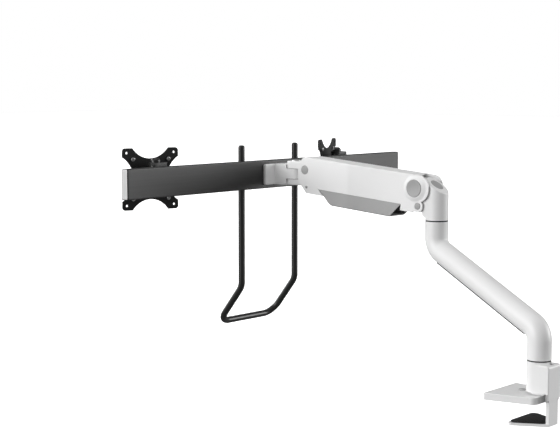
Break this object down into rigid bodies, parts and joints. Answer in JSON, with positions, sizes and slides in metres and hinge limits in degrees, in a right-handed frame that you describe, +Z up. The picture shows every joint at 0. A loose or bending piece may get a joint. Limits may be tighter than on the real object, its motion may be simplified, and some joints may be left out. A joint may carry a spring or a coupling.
{
  "type": "monitor arm",
  "caption": "Desk-clamped monitor arm with a bent lower tube, a gas-spring upper arm and a wide crossbar whose sliding heads tilt, swivel and turn screen plates, with a pull handle.",
  "frame": {"origin": "on the desk top, at the underside of the clamp's upper pad, under the base column's axis", "axes": "+Z up, +Y from the desk's rear edge towards the user, +X along the desk's rear edge"},
  "size_m": [0.85, 0.7732, 0.4659],
  "materials": {
    "white_paint": "satin",
    "grey_plastic": "matt",
    "black_plastic": "matt",
    "black_paint": "satin",
    "dark_aluminium": "anodised",
    "silver": "satin",
    "steel": "brushed",
    "rubber": "matt"
  },
  "bodies": {
    "clamp": {"top_plate": "white_paint", "plate_pad": "rubber", "clamp_post": "white_paint", "base_spindle": "steel", "post_screws": "steel", "base_ring": "black_plastic", "grommet_plug": "grey_plastic", "jaw_guides": "grey_plastic"},
    "jaw": {"clamp_jaw": "white_paint", "jaw_pad": "rubber"},
    "jaw_screw": {"clamp_screw": "steel"},
    "lower_arm": {"lower_tube": "white_paint", "lower_cable_cover": "grey_plastic", "base_bush": "black_plastic", "elbow_spindle": "steel", "elbow_bolt": "steel", "elbow_ring": "black_plastic"},
    "elbow": {"elbow_housing": "white_paint", "elbow_bush": "black_plastic", "elbow_cap": "grey_plastic", "link_rear_pin": "steel", "spring_rear_pin": "steel"},
    "upper_arm": {"arm_case": "white_paint", "main_pivot_shaft": "steel", "main_pivot_caps": "grey_plastic", "front_pivot_pin": "steel", "front_pivot_caps": "grey_plastic", "ear_caps": "grey_plastic", "case_screws": "steel", "pivot_washers": "black_plastic", "arm_cable_tray": "grey_plastic", "gas_spring_cylinder": "black_paint", "spring_front_pin": "steel"},
    "spring_rod": {"gas_spring_rod": "steel"},
    "links": {"parallel_links": "black_paint"},
    "head": {"head_fork": "white_paint", "link_front_pin": "steel", "swivel_pin": "steel"},
    "bar": {"bar_bracket": "white_paint", "swivel_washers": "black_plastic", "bracket_screws": "steel", "crossbar": "dark_aluminium", "end_cap_left": "silver", "end_cap_right": "silver", "handle": "black_paint", "handle_clamps": "black_plastic"},
    "carriage_left": {"carriage_left": "black_paint", "tilt_pin_left": "steel"},
    "tilt_left": {"tilt_block_left": "black_paint", "yaw_pin_left": "black_paint"},
    "swivel_left": {"swivel_block_left": "black_paint"},
    "plate_left": {"vesa_plate_left": "black_paint", "vesa_screws_left": "steel"},
    "carriage_right": {"carriage_right": "black_paint", "tilt_pin_right": "steel"},
    "tilt_right": {"tilt_block_right": "black_paint", "yaw_pin_right": "black_paint"},
    "swivel_right": {"swivel_block_right": "black_paint"},
    "plate_right": {"vesa_plate_right": "black_paint", "vesa_screws_right": "steel"}
  },
  "joints": [
    {"name": "jaw_slide", "type": "slide", "parent": "clamp", "child": "jaw", "axis": [0, 0, 1], "range_m": [-0.02, 0.019]},
    {"name": "clamp_screw_turn", "type": "hinge", "parent": "clamp", "child": "jaw_screw", "pos_m": [0, -0.024, 0.0705], "axis": [0, 0, 1], "range_deg": [-7210, 7210]},
    {"name": "base_swivel", "type": "hinge", "parent": "clamp", "child": "lower_arm", "pos_m": [0, 0, 0.0729], "axis": [0, 0, 1], "range_deg": [-90, 90]},
    {"name": "elbow_swivel", "type": "hinge", "parent": "lower_arm", "child": "elbow", "pos_m": [0.06025, 0.25292, 0.2957], "axis": [0, 0, -1], "range_deg": [-90, 90]},
    {"name": "arm_lift", "type": "hinge", "parent": "elbow", "child": "upper_arm", "pos_m": [0.06025, 0.28592, 0.3542], "axis": [1, 0, 0], "range_deg": [-40, 30]},
    {"name": "spring_travel", "type": "slide", "parent": "upper_arm", "child": "spring_rod", "axis": [0, -0.9956, -0.0941], "range_m": [-0.0145, 0.0115]},
    {"name": "link_swing", "type": "hinge", "parent": "elbow", "child": "links", "pos_m": [0.06025, 0.27892, 0.3212], "axis": [1, 0, 0], "range_deg": [-40.5, 30.5]},
    {"name": "head_level", "type": "hinge", "parent": "upper_arm", "child": "head", "pos_m": [0.06025, 0.54477, 0.37867], "axis": [1, 0, 0], "range_deg": [-30.5, 40.5]},
    {"name": "head_swivel", "type": "hinge", "parent": "head", "child": "bar", "pos_m": [0.06025, 0.58637, 0.36887], "axis": [0, 0, 1], "range_deg": [-60, 60]},
    {"name": "carriage_slide_left", "type": "slide", "parent": "bar", "child": "carriage_left", "axis": [-1, 0, 0], "range_m": [-0.1, 0.08]},
    {"name": "screen_tilt_left", "type": "hinge", "parent": "carriage_left", "child": "tilt_left", "pos_m": [-0.22375, 0.67237, 0.36687], "axis": [1, 0, 0], "range_deg": [-20, 20]},
    {"name": "screen_swivel_left", "type": "hinge", "parent": "tilt_left", "child": "swivel_left", "pos_m": [-0.22375, 0.70037, 0.36687], "axis": [0, 0, 1], "range_deg": [-25.8, 64.2]},
    {"name": "screen_turn_left", "type": "hinge", "parent": "swivel_left", "child": "plate_left", "pos_m": [-0.21694, 0.71992, 0.36687], "axis": [0.3289, 0.9444, 0], "range_deg": [-90, 90]},
    {"name": "carriage_slide_right", "type": "slide", "parent": "bar", "child": "carriage_right", "axis": [1, 0, 0], "range_m": [-0.1, 0.08]},
    {"name": "screen_tilt_right", "type": "hinge", "parent": "carriage_right", "child": "tilt_right", "pos_m": [0.34425, 0.67237, 0.36687], "axis": [1, 0, 0], "range_deg": [-20, 20]},
    {"name": "screen_swivel_right", "type": "hinge", "parent": "tilt_right", "child": "swivel_right", "pos_m": [0.34425, 0.70037, 0.36687], "axis": [0, 0, 1], "range_deg": [-64.2, 25.8]},
    {"name": "screen_turn_right", "type": "hinge", "parent": "swivel_right", "child": "plate_right", "pos_m": [0.33745, 0.71992, 0.36687], "axis": [-0.3289, 0.9444, 0], "range_deg": [-90, 90]}
  ],
  "couplings": [
    {"joint": "clamp_screw_turn", "follows": "jaw_slide", "rad_per_m": 6283.2},
    {"joint": "spring_travel", "follows": "arm_lift", "m_per_rad": 0.01767},
    {"joint": "link_swing", "follows": "arm_lift", "ratio": 1},
    {"joint": "head_level", "follows": "arm_lift", "ratio": -1}
  ]
}
